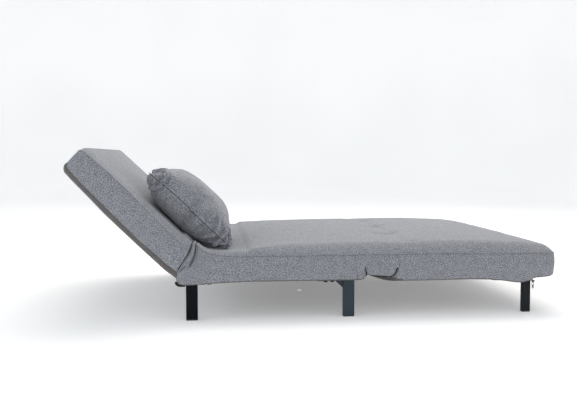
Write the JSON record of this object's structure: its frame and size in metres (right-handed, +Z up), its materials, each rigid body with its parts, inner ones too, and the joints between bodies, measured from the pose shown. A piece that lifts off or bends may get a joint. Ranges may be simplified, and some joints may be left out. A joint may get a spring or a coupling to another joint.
{
  "type": "futon sofa bed",
  "caption": "Fold-out sofa bed with a reclining backrest, a foot section that folds onto the seat, folding front legs and a loose pillow.",
  "frame": {"origin": "on the floor, at the middle of the opened bed's box", "axes": "+X from the backrest to the foot end, +Y to the sleeper's left, +Z up"},
  "size_m": [1.7026, 1.052, 0.5851],
  "materials": {
    "fabric_grey": "matte",
    "rear_fabric": "matte",
    "foam": "matte",
    "frame_black": "satin",
    "leg_black": "satin",
    "leg_blue_grey": "satin",
    "cap_black": "matte",
    "zinc_steel": "satin",
    "webbing_black": "matte"
  },
  "bodies": {
    "seat": {"seat_side_rail_left": "frame_black", "seat_side_rail_right": "frame_black", "seat_cross_rails": "frame_black", "seat_springs": "zinc_steel", "seat_foam": "foam", "seat_edge_foam": "foam", "seat_cover": "fabric_grey", "seat_dust_cover": "webbing_black", "rear_leg_left": "leg_black", "rear_leg_right": "leg_black", "mid_leg_left": "leg_blue_grey", "mid_leg_right": "leg_blue_grey", "seat_leg_caps": "cap_black", "leg_bolts": "frame_black", "ratchet_seat_arm_left": "frame_black", "ratchet_seat_arm_right": "frame_black", "ratchet_studs": "zinc_steel", "seat_fold_ears": "frame_black", "seat_fold_studs": "zinc_steel", "crease_foam": "foam"},
    "pawl_left": {"ratchet_pawl_left": "zinc_steel"},
    "pawl_right": {"ratchet_pawl_right": "zinc_steel"},
    "backrest": {"back_side_rail_left": "frame_black", "back_side_rail_right": "frame_black", "back_cross_rails": "frame_black", "back_webbing": "webbing_black", "back_foam": "foam", "back_edge_foam": "foam", "back_cover": "fabric_grey", "back_panel": "rear_fabric", "ratchet_back_arm_left": "frame_black", "ratchet_back_arm_right": "frame_black"},
    "link": {"fold_link_left": "frame_black", "fold_link_right": "frame_black", "fold_cross_tube": "frame_black", "fold_foam": "foam", "fold_cover": "fabric_grey"},
    "foot": {"foot_side_rail_left": "frame_black", "foot_side_rail_right": "frame_black", "foot_cross_rails": "frame_black", "foot_springs": "zinc_steel", "foot_foam": "foam", "foot_edge_foam": "foam", "foot_under_pads": "foam", "foot_cover": "fabric_grey", "foot_pocket_flap": "fabric_grey", "foot_fold_ears": "frame_black", "foot_fold_studs": "zinc_steel", "foot_leg_brackets": "frame_black", "foot_zip_tape": "webbing_black"},
    "foot_legs": {"foot_leg_left": "leg_black", "foot_leg_right": "leg_black", "foot_leg_tube": "frame_black", "foot_leg_caps": "cap_black"},
    "zip_slider": {"zip_slider": "zinc_steel"},
    "zip_pull": {"zip_pull": "zinc_steel"},
    "pillow": {"pillow_cover": "fabric_grey", "pillow_insert": "foam"}
  },
  "joints": [
    {"name": "back_recline", "type": "hinge", "parent": "seat", "child": "backrest", "pos_m": [-0.44074, 0, 0.144], "axis": [0, 1, 0], "range_deg": [-43.2, 24.8], "deforming": ["crease_foam", "pillow_cover", "pillow_insert"]},
    {"name": "pawl_lift_left", "type": "hinge", "parent": "seat", "child": "pawl_left", "pos_m": [-0.39074, 0.482, 0.15], "axis": [0, -1, 0], "range_deg": [0, 12], "stiffness_Nm_per_rad": 0.05, "springref_deg": -17.19},
    {"name": "pawl_lift_right", "type": "hinge", "parent": "seat", "child": "pawl_right", "pos_m": [-0.39074, -0.482, 0.15], "axis": [0, -1, 0], "range_deg": [0, 12], "stiffness_Nm_per_rad": 0.05, "springref_deg": -17.19},
    {"name": "link_fold", "type": "hinge", "parent": "seat", "child": "link", "pos_m": [0.17726, 0, 0.188], "axis": [0, -1, 0], "range_deg": [0, 90], "deforming": ["fold_foam", "fold_cover"]},
    {"name": "foot_fold", "type": "hinge", "parent": "link", "child": "foot", "pos_m": [0.28926, 0, 0.188], "axis": [0, -1, 0], "range_deg": [0, 90]},
    {"name": "foot_leg_fold", "type": "hinge", "parent": "foot", "child": "foot_legs", "pos_m": [0.75626, 0, 0.13], "axis": [0, 1, 0], "range_deg": [0, 90], "deforming": ["foot_pocket_flap"]},
    {"name": "zip_slide", "type": "slide", "parent": "foot", "child": "zip_slider", "axis": [0, 1, 0], "range_m": [0, 1.014]},
    {"name": "zip_pull_swing", "type": "hinge", "parent": "zip_slider", "child": "zip_pull", "pos_m": [0.78226, -0.507, 0.1082], "axis": [1, 0, 0], "range_deg": [-70, 70]},
    {"name": "pillow_slide", "type": "slide", "parent": "backrest", "child": "pillow", "axis": [-0.729, 0, 0.6845], "range_m": [-0.135, 0.08]}
  ],
  "couplings": [
    {"joint": "foot_fold", "follows": "link_fold", "ratio": 1},
    {"joint": "pawl_lift_right", "follows": "pawl_lift_left", "ratio": 1},
    {"joint": "pillow_slide", "follows": "back_recline", "m_per_rad": 0.17}
  ]
}
